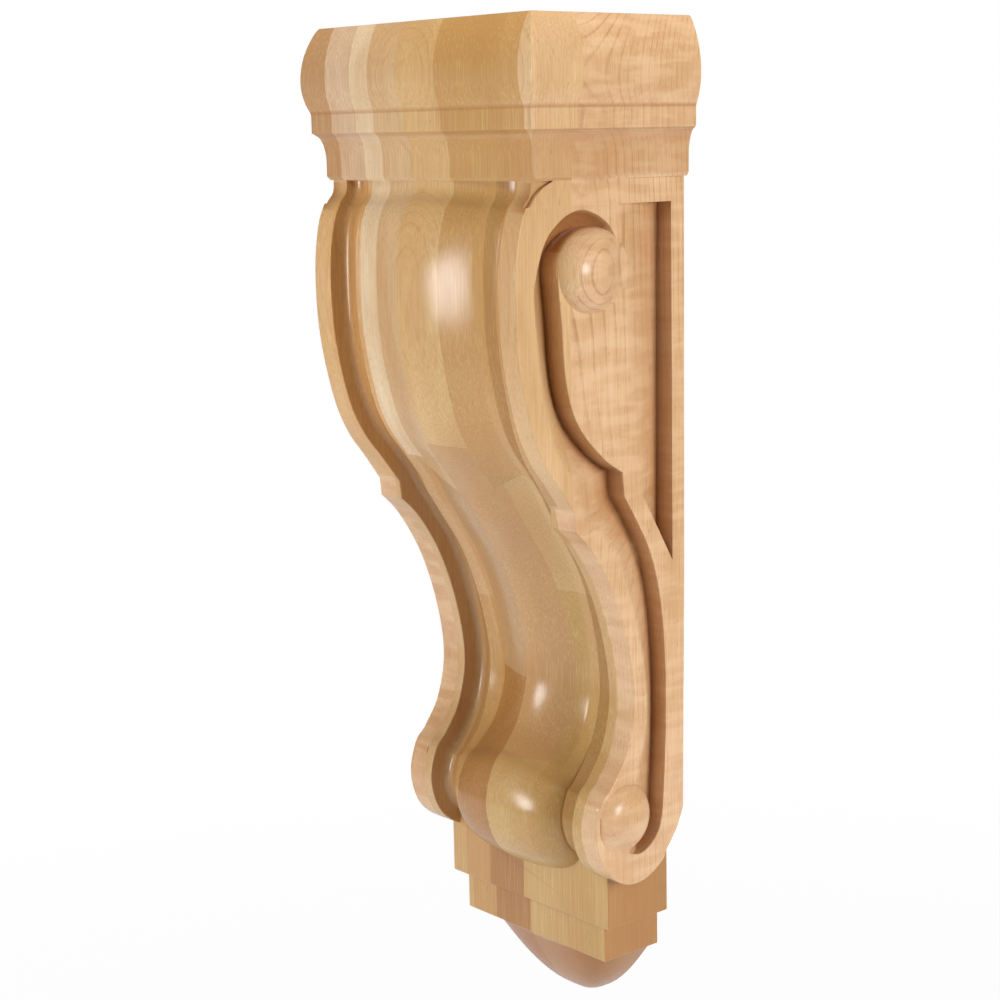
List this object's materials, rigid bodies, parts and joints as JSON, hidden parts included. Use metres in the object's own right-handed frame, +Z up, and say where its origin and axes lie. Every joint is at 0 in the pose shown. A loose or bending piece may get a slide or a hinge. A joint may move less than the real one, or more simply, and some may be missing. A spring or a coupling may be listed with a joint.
{
  "type": "wood corbel",
  "caption": "Carved maple bracket that holds up a shelf or mantel: moulded cap, S-shaped scrolled body with ribbed front, and a stepped foot ending in a half dome.",
  "frame": {"origin": "middle of the flat back, at half the corbel's height and half its width", "axes": "+Y points into the wall, out of the flat back; the carved front faces -Y; +Z is up, along the height; +X runs across the width"},
  "size_m": [0.1228, 0.0778, 0.3574],
  "materials": {
    "maple": "satin clear coat"
  },
  "bodies": {
    "root": {"corbel": "maple"}
  },
  "joints": []
}
